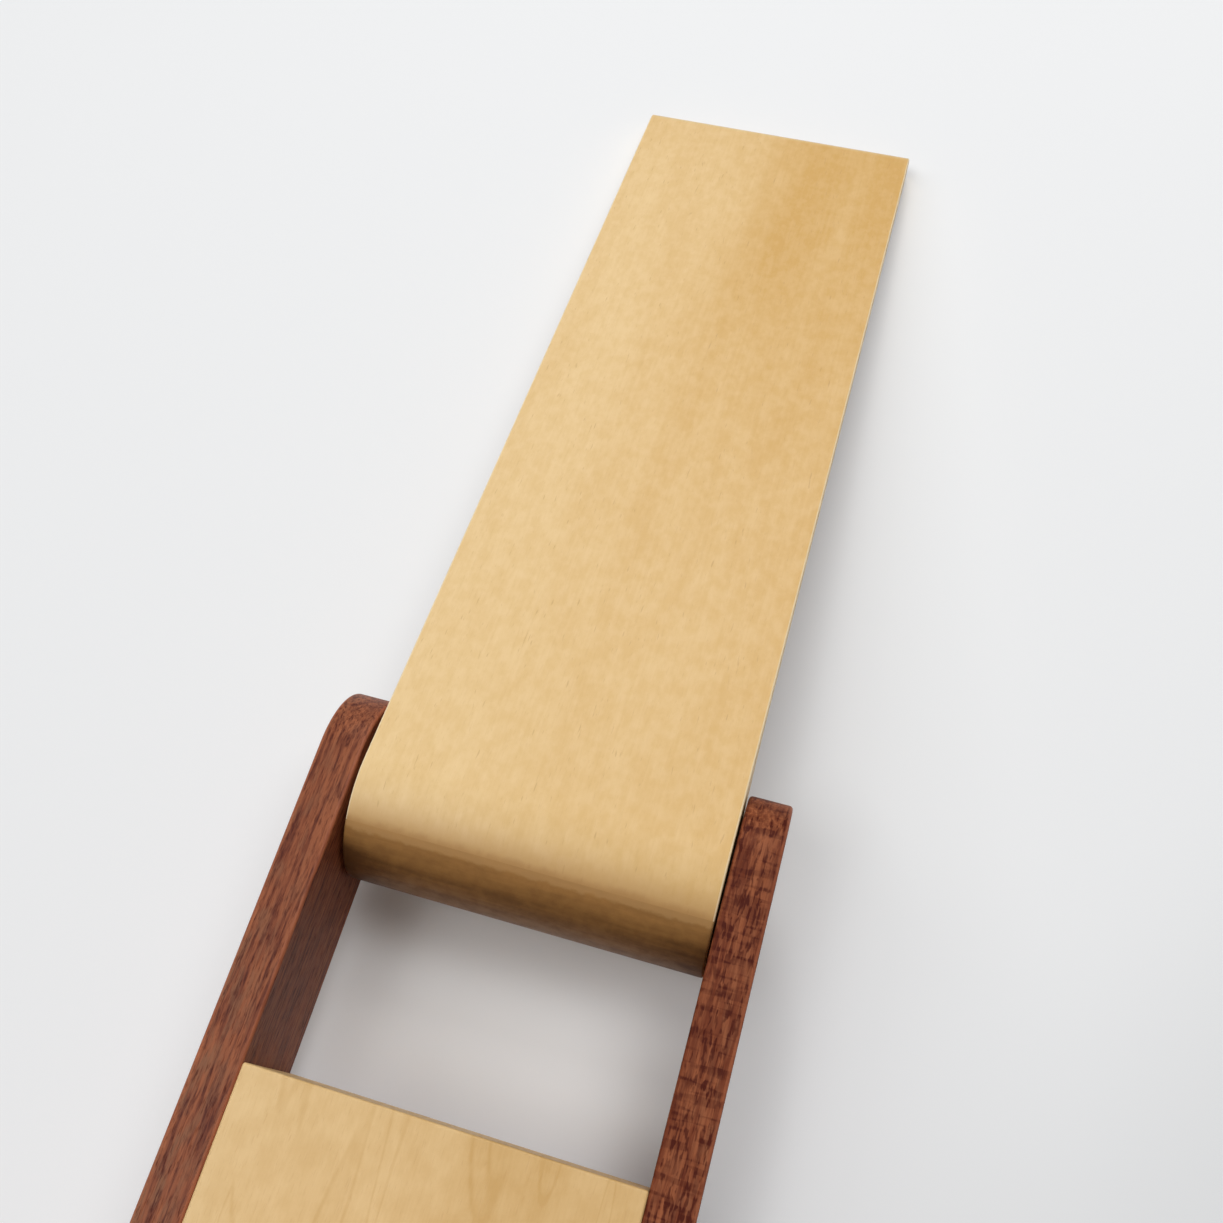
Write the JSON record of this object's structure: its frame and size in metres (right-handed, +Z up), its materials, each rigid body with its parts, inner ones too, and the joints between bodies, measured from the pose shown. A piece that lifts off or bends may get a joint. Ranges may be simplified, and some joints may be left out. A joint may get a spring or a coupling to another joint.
{
  "type": "tape dispenser",
  "caption": "Wooden desk tape dispenser: dark rails and pale crossbars hold a wide tape roll, with a pale tongue hinged at the rails' round tips.",
  "frame": {"origin": "centre of the whole length and width, on the table under the feet", "axes": "+Z up; -Y forward, along the tongue; +Y back, towards the tape roll; +X to the right as seen from the front"},
  "size_m": [0.063, 0.297, 0.0613],
  "materials": {
    "dark_wood": "oiled reddish rosewood, satin",
    "pale_wood": "pale maple, satin lacquer",
    "tongue_face_wood": "honey maple veneer, satin lacquer",
    "tongue_core_wood": "darker maple core, satin lacquer",
    "dowel_wood": "plain beech",
    "steel": "bright",
    "ballast_steel": "blackened",
    "brass": "satin",
    "nylon": "matt",
    "rubber": "matt",
    "card": "grey-brown card",
    "tape_paper": "kraft paper, matt"
  },
  "bodies": {
    "frame": {"left_rail": "dark_wood", "right_rail": "dark_wood", "front_crossbar": "pale_wood", "rear_crossbar": "pale_wood", "front_dowels": "dowel_wood", "rear_dowels": "dowel_wood", "pivot_pin": "steel", "left_washer": "nylon", "right_washer": "nylon", "base_board": "dark_wood", "base_screws": "steel", "ballast_plate": "ballast_steel", "rubber_feet": "rubber", "cutter_blade": "steel", "cutter_clamp": "brass", "cutter_screws": "steel", "spindle_axle": "steel", "tape_leader": "tape_paper"},
    "tongue": {"tongue_core": "tongue_core_wood", "tongue_face": "tongue_face_wood", "left_bush": "brass", "right_bush": "brass"},
    "roll": {"roll_hub": "pale_wood", "tape_core": "card", "tape_roll": "tape_paper"}
  },
  "joints": [
    {"name": "tongue_fold", "type": "hinge", "parent": "frame", "child": "tongue", "pos_m": [0, -0.00385, 0.0167], "axis": [-1, 0, 0], "range_deg": [0, 154]},
    {"name": "roll_spin", "type": "hinge", "parent": "frame", "child": "roll", "pos_m": [0, 0.09325, 0.0363], "axis": [1, 0, 0], "continuous": true}
  ]
}
